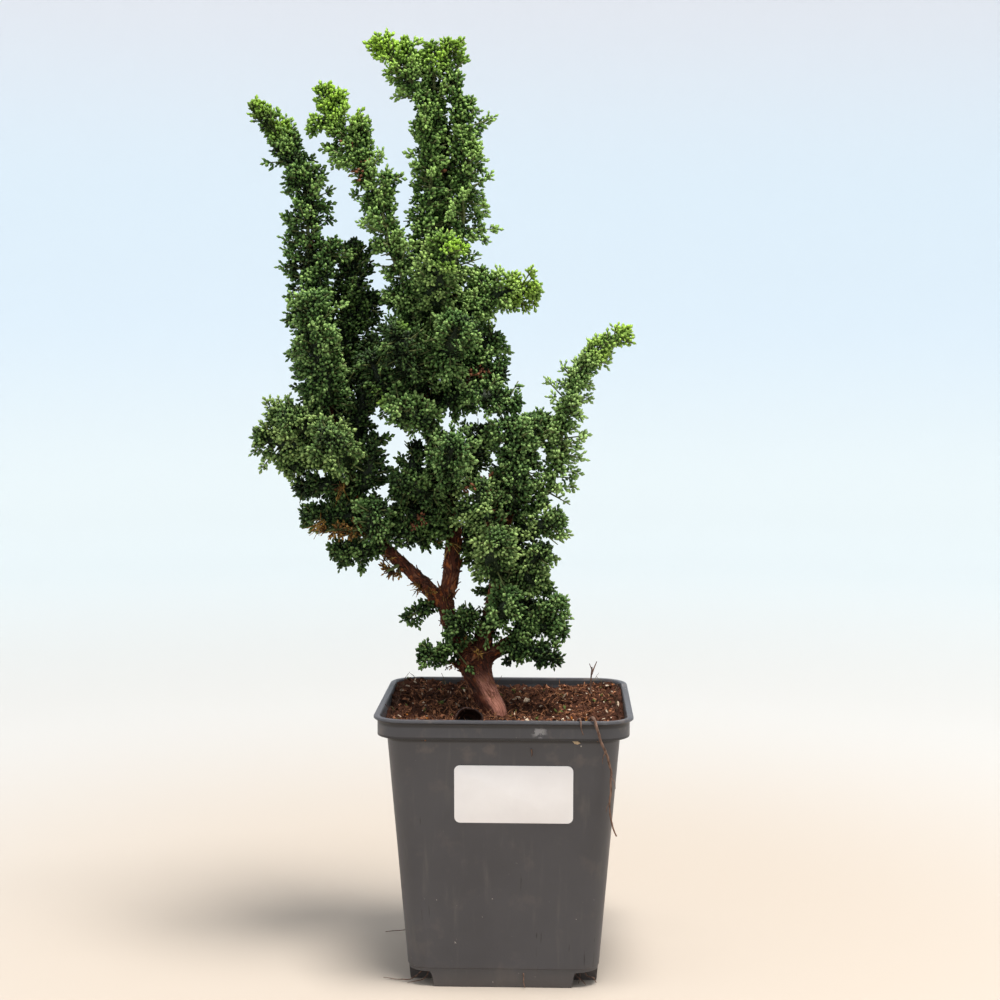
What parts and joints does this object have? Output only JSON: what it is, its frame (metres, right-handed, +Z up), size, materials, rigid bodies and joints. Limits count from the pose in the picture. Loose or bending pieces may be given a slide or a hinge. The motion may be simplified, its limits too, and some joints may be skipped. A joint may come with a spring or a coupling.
{
  "type": "potted conifer bonsai",
  "caption": "Young hinoki cypress bonsai with upright feathery plumes of scale leaves on a forked leaning trunk, in a square tapered plastic nursery pot filled with soil.",
  "frame": {"origin": "middle of the pot's flat underside, on the surface that it stands on", "axes": "+Z up along the pot, -Y towards the front wall with the sticker, which the tree faces, +X to the right seen from there"},
  "size_m": [0.1679, 0.1122, 0.4066],
  "materials": {
    "pot": "satin dark grey polypropylene with fine scuffs",
    "soil": "crumbly red-brown peat and bark mix",
    "label": "matt white sticker, bare",
    "bark": "red-brown bark that peels in strips",
    "dry_wood": "dry and fibrous",
    "leaves": "dull green scale leaves",
    "shaded_leaves": "dark green scale leaves",
    "pale_leaves": "grey-green scale leaves",
    "fresh_leaves": "yellow-green fresh scale leaves",
    "dead_leaves": "orange-brown withered scale leaves"
  },
  "bodies": {
    "root": {"bark_chip": "dry_wood", "dead_sprig_limb": "dead_leaves", "dead_sprig_low": "dead_leaves", "hanging_root": "dry_wood", "label": "label", "pot": "pot", "shoot_bright_sprig": "fresh_leaves", "shoot_bump_back": "leaves", "shoot_bump_front": "pale_leaves", "shoot_bump_left": "pale_leaves", "shoot_bump_top": "pale_leaves", "shoot_centre_back": "shaded_leaves", "shoot_centre_front": "leaves", "shoot_centre_left_back": "shaded_leaves", "shoot_centre_left_front": "shaded_leaves", "shoot_centre_left_low": "shaded_leaves", "shoot_centre_low_front": "pale_leaves", "shoot_centre_right": "leaves", "shoot_column_back": "shaded_leaves", "shoot_column_front": "pale_leaves", "shoot_column_left": "leaves", "shoot_column_right": "leaves", "shoot_fork_sprig": "shaded_leaves", "shoot_inner_left": "shaded_leaves", "shoot_left_back_plume": "shaded_leaves", "shoot_left_front_plume": "leaves", "shoot_left_plume": "leaves", "shoot_left_shoulder": "shaded_leaves", "shoot_low_left_back": "shaded_leaves", "shoot_low_left_front": "leaves", "shoot_low_left_high": "shaded_leaves", "shoot_low_left_middle": "shaded_leaves", "shoot_low_left_tip": "shaded_leaves", "shoot_low_sprig": "shaded_leaves", "shoot_middle_back_left": "shaded_leaves", "shoot_middle_back_low": "shaded_leaves", "shoot_middle_back_outer": "shaded_leaves", "shoot_middle_back_right": "shaded_leaves", "shoot_middle_front_left": "shaded_leaves", "shoot_middle_front_outer": "shaded_leaves", "shoot_middle_front_right": "leaves", "shoot_middle_left": "shaded_leaves", "shoot_middle_right": "leaves", "shoot_middle_right_low": "leaves", "shoot_right_back": "shaded_leaves", "shoot_right_back_high": "shaded_leaves", "shoot_right_foot": "shaded_leaves", "shoot_right_front_high": "pale_leaves", "shoot_right_front_low": "leaves", "shoot_right_inner": "shaded_leaves", "shoot_right_knob": "fresh_leaves", "shoot_right_low": "leaves", "shoot_right_outer_high": "pale_leaves", "shoot_right_outer_middle": "pale_leaves", "shoot_right_plume": "fresh_leaves", "shoot_second_plume": "leaves", "shoot_twig_sprig": "shaded_leaves", "soil": "soil", "soil_twig": "dry_wood", "trunk_and_branches": "bark"}
  },
  "joints": []
}
